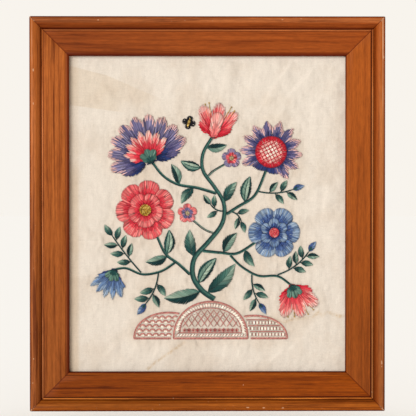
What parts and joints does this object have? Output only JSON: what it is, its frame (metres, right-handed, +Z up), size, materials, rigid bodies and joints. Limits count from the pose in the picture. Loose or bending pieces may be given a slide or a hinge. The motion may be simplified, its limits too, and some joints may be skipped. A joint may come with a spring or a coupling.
{
  "type": "crewel embroidery in a wooden frame",
  "caption": "Crewel wool embroidery of a flowering tree on creased linen, stretched over a board in a mitred, stained wooden moulding frame that hangs flat on a wall",
  "frame": {"origin": "on the flat back of the top rail, at the middle of its length and of its width, where the frame bears on the wall", "axes": "+X to the viewer's right, +Y from the front to the wall, +Z up the picture"},
  "size_m": [0.4572, 0.0215, 0.508],
  "materials": {
    "stained_wood": "satin brown stain, worn at the mitres",
    "linen": "plain weave, unbleached, creased",
    "backing_board": "plain brown board",
    "rose_wool": "two-ply crewel wool in close stitches",
    "green_wool": "two-ply crewel wool in close stitches",
    "teal_wool": "two-ply crewel wool in close stitches",
    "coral_wool": "two-ply crewel wool in close stitches",
    "red_wool": "two-ply crewel wool in close stitches",
    "pink_wool": "two-ply crewel wool in close stitches",
    "blue_wool": "two-ply crewel wool in close stitches",
    "sky_wool": "two-ply crewel wool in close stitches",
    "lilac_wool": "two-ply crewel wool in close stitches",
    "gold_wool": "two-ply crewel wool in close stitches",
    "navy_wool": "two-ply crewel wool in close stitches"
  },
  "bodies": {
    "root": {"rail_top": "stained_wood", "rail_right": "stained_wood", "rail_bottom": "stained_wood", "rail_left": "stained_wood", "linen": "linen", "backing_board": "backing_board", "mound_middle": "rose_wool", "mound_left": "rose_wool", "mound_right": "rose_wool", "trunk": "green_wool", "bough_rose": "green_wool", "bough_blue": "green_wool", "bough_seed": "green_wool", "bough_fan": "green_wool", "bough_bell": "green_wool", "bough_bud": "green_wool", "sprig_middle": "green_wool", "sprig_top": "green_wool", "leaf_01": "teal_wool", "leaf_02": "teal_wool", "leaf_03": "teal_wool", "leaf_04": "teal_wool", "leaf_05": "teal_wool", "leaf_06": "teal_wool", "leaf_07": "teal_wool", "leaf_08": "teal_wool", "leaf_09": "teal_wool", "leaf_10": "teal_wool", "leaf_11": "teal_wool", "leaf_12": "teal_wool", "leaf_13": "teal_wool", "leaf_14": "teal_wool", "twig_01": "teal_wool", "twig_02": "teal_wool", "twig_03": "teal_wool", "twig_04": "teal_wool", "twig_05": "teal_wool", "twig_06": "teal_wool", "twig_07": "teal_wool", "rose_petals": "coral_wool", "rose_middle": "red_wool", "rose_heart": "gold_wool", "blue_petals": "blue_wool", "blue_middle": "sky_wool", "blue_heart": "coral_wool", "seed_crown": "blue_wool", "seed_fruit": "coral_wool", "fan_petals": "lilac_wool", "fan_middle": "coral_wool", "fan_cup": "green_wool", "tulip_petals": "coral_wool", "tulip_heart": "pink_wool", "bell_petals": "blue_wool", "bell_cap": "green_wool", "bud_petals": "coral_wool", "bud_cap": "green_wool", "blossom_middle": "pink_wool", "blossom_top": "lilac_wool", "moth_wings": "gold_wool", "moth_body": "navy_wool"}
  },
  "joints": []
}
